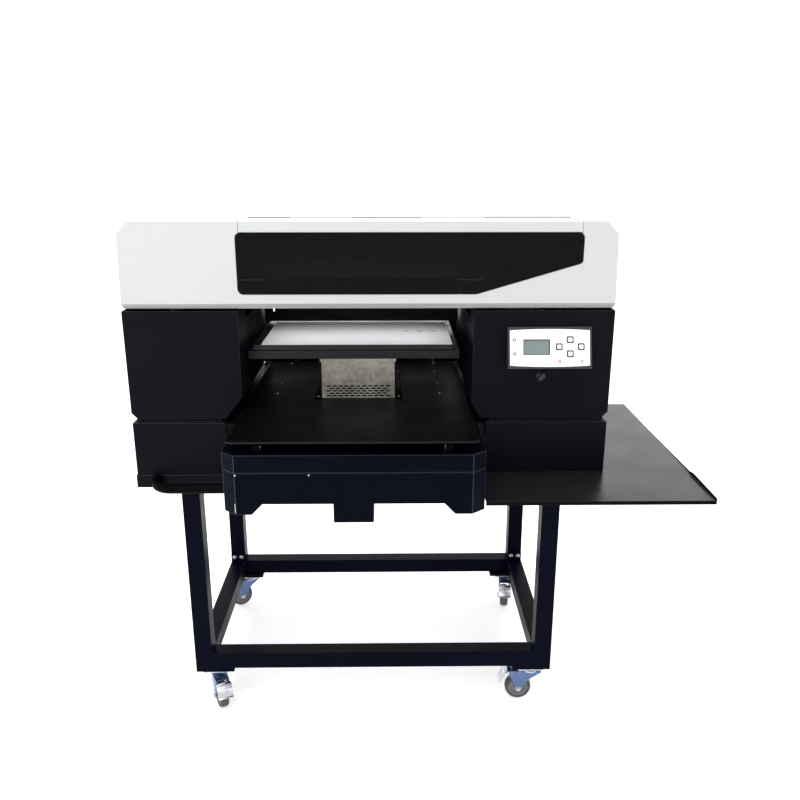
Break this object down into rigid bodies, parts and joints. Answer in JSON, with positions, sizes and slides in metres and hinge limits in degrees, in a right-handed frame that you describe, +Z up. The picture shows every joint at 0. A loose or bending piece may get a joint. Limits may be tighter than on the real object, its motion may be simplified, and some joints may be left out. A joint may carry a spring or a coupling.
{
  "type": "flatbed uv printer",
  "caption": "Flatbed UV printer with a sliding, lifting print bed, a gantry under a white cover, a side shelf and a castered tube stand.",
  "frame": {"origin": "on the floor under the middle of the overall box", "axes": "+X to the operator's right, +Y from the operator to the rear, +Z up"},
  "size_m": [1.1894, 0.737, 1.148],
  "materials": {
    "frame_paint": "satin dark navy-black powder coat",
    "black_paint": "fine-textured black powder coat with a navy tint",
    "deck_paint": "smooth satin black powder coat",
    "white_paint": "satin grey-white powder coat",
    "smoked_acrylic": "polished smoked acrylic sheet",
    "galvanised_steel": "galvanised sheet with soft mottling",
    "zinc_plate": "bright zinc plate",
    "grey_rubber": "grey caster rubber",
    "platen_aluminium": "dark anodised",
    "white_mat": "matt white sheet",
    "bezel_plastic": "silver-grey moulded",
    "panel_plastic": "white membrane and keys",
    "lcd_window": "grey-green display window",
    "dark_plastic": "black moulded",
    "rail_steel": "ground bearing steel",
    "bare_aluminium": "clear anodised"
  },
  "bodies": {
    "machine": {"front_frame": "frame_paint", "rear_frame": "frame_paint", "side_rail_left": "frame_paint", "side_rail_right": "frame_paint", "base_pan": "black_paint", "base_housing_left": "black_paint", "base_housing_right": "black_paint", "upper_housing_left": "black_paint", "upper_housing_right": "black_paint", "front_box": "black_paint", "front_box_lid": "black_paint", "rail_bed": "black_paint", "rear_panel": "black_paint", "side_shelf": "deck_paint", "push_handle": "deck_paint", "top_cover": "white_paint", "caster_plate_front_left": "zinc_plate", "caster_plate_front_right": "zinc_plate", "caster_plate_rear_left": "zinc_plate", "caster_plate_rear_right": "zinc_plate", "panel_bezel": "bezel_plastic", "panel_face": "panel_plastic", "lcd_screen": "lcd_window", "power_inlet": "dark_plastic", "capping_station": "dark_plastic", "y_motor": "dark_plastic", "carriage_motor": "dark_plastic", "ink_tank_set": "dark_plastic", "y_rail_left": "rail_steel", "y_rail_right": "rail_steel", "gantry_beam": "bare_aluminium"},
    "y_table": {"deck_plate": "deck_paint", "saddle_left": "rail_steel", "saddle_right": "rail_steel", "lift_housing": "galvanised_steel"},
    "bed": {"bed_frame": "deck_paint", "platen": "platen_aluminium", "media_mat": "white_mat", "lift_mast": "rail_steel"},
    "carriage": {"print_carriage": "dark_plastic", "print_head": "bare_aluminium"},
    "window_flap": {"flap_strip": "white_paint", "window_pane": "smoked_acrylic"},
    "knob": {"turn_knob": "dark_plastic"},
    "key_up_cap": {"key_up": "panel_plastic"},
    "key_down_cap": {"key_down": "panel_plastic"},
    "key_left_cap": {"key_left": "panel_plastic"},
    "key_right_cap": {"key_right": "panel_plastic"},
    "swivel_front_left": {"caster_fork_front_left": "zinc_plate"},
    "wheel_front_left": {"caster_wheel_front_left": "grey_rubber"},
    "pedal_front_left": {"brake_pedal_front_left": "zinc_plate"},
    "swivel_front_right": {"caster_fork_front_right": "zinc_plate"},
    "wheel_front_right": {"caster_wheel_front_right": "grey_rubber"},
    "pedal_front_right": {"brake_pedal_front_right": "zinc_plate"},
    "swivel_rear_left": {"caster_fork_rear_left": "zinc_plate"},
    "wheel_rear_left": {"caster_wheel_rear_left": "grey_rubber"},
    "pedal_rear_left": {"brake_pedal_rear_left": "zinc_plate"},
    "swivel_rear_right": {"caster_fork_rear_right": "zinc_plate"},
    "wheel_rear_right": {"caster_wheel_rear_right": "grey_rubber"},
    "pedal_rear_right": {"brake_pedal_rear_right": "zinc_plate"}
  },
  "joints": [
    {"name": "y_travel", "type": "slide", "parent": "machine", "child": "y_table", "axis": [0, -1, 0], "range_m": [-0.1, 0.29]},
    {"name": "z_lift", "type": "slide", "parent": "y_table", "child": "bed", "axis": [0, 0, 1], "range_m": [0, 0.06]},
    {"name": "carriage_travel", "type": "slide", "parent": "machine", "child": "carriage", "axis": [-1, 0, 0], "range_m": [0, 0.67]},
    {"name": "flap_hinge", "type": "hinge", "parent": "machine", "child": "window_flap", "pos_m": [-0.00775, -0.0665, 1.148], "axis": [-1, 0, 0], "range_deg": [0, 85]},
    {"name": "knob_turn", "type": "hinge", "parent": "machine", "child": "knob", "pos_m": [0.26325, -0.1785, 0.834], "axis": [0, -1, 0], "range_deg": [0, 90]},
    {"name": "key_up_press", "type": "slide", "parent": "machine", "child": "key_up_cap", "axis": [0, 0.9522, -0.3056], "range_m": [0, 0.001], "stiffness_N_per_m": 300},
    {"name": "key_down_press", "type": "slide", "parent": "machine", "child": "key_down_cap", "axis": [0, 0.9522, -0.3056], "range_m": [0, 0.001], "stiffness_N_per_m": 300},
    {"name": "key_left_press", "type": "slide", "parent": "machine", "child": "key_left_cap", "axis": [0, 0.9522, -0.3056], "range_m": [0, 0.001], "stiffness_N_per_m": 300},
    {"name": "key_right_press", "type": "slide", "parent": "machine", "child": "key_right_cap", "axis": [0, 0.9522, -0.3056], "range_m": [0, 0.001], "stiffness_N_per_m": 300},
    {"name": "swivel_front_left_turn", "type": "hinge", "parent": "machine", "child": "swivel_front_left", "pos_m": [-0.46975, -0.1095, 0.08], "axis": [0, 0, 1], "continuous": true},
    {"name": "wheel_front_left_roll", "type": "hinge", "parent": "swivel_front_left", "child": "wheel_front_left", "pos_m": [-0.45834, -0.13397, 0.0315], "axis": [0.9063, 0.4226, 0], "continuous": true},
    {"name": "pedal_front_left_press", "type": "hinge", "parent": "swivel_front_left", "child": "pedal_front_left", "pos_m": [-0.45031, -0.15119, 0.07], "axis": [0.9063, 0.4226, 0], "range_deg": [0, 12]},
    {"name": "swivel_front_right_turn", "type": "hinge", "parent": "machine", "child": "swivel_front_right", "pos_m": [0.28625, -0.1095, 0.08], "axis": [0, 0, 1], "continuous": true},
    {"name": "wheel_front_right_roll", "type": "hinge", "parent": "swivel_front_right", "child": "wheel_front_right", "pos_m": [0.25925, -0.1095, 0.0315], "axis": [0, -1, 0], "continuous": true},
    {"name": "pedal_front_right_press", "type": "hinge", "parent": "swivel_front_right", "child": "pedal_front_right", "pos_m": [0.24025, -0.1095, 0.07], "axis": [0, -1, 0], "range_deg": [0, 12]},
    {"name": "swivel_rear_left_turn", "type": "hinge", "parent": "machine", "child": "swivel_rear_left", "pos_m": [-0.46975, 0.3405, 0.08], "axis": [0, 0, 1], "continuous": true},
    {"name": "wheel_rear_left_roll", "type": "hinge", "parent": "swivel_rear_left", "child": "wheel_rear_left", "pos_m": [-0.49313, 0.327, 0.0315], "axis": [0.5, -0.866, 0], "continuous": true},
    {"name": "pedal_rear_left_press", "type": "hinge", "parent": "swivel_rear_left", "child": "pedal_rear_left", "pos_m": [-0.50959, 0.3175, 0.07], "axis": [0.5, -0.866, 0], "range_deg": [0, 12]},
    {"name": "swivel_rear_right_turn", "type": "hinge", "parent": "machine", "child": "swivel_rear_right", "pos_m": [0.28625, 0.3405, 0.08], "axis": [0, 0, 1], "continuous": true},
    {"name": "wheel_rear_right_roll", "type": "hinge", "parent": "swivel_rear_right", "child": "wheel_rear_right", "pos_m": [0.2839, 0.3136, 0.0315], "axis": [0.9962, -0.0872, 0], "continuous": true},
    {"name": "pedal_rear_right_press", "type": "hinge", "parent": "swivel_rear_right", "child": "pedal_rear_right", "pos_m": [0.28224, 0.29468, 0.07], "axis": [0.9962, -0.0872, 0], "range_deg": [0, 12]}
  ]
}
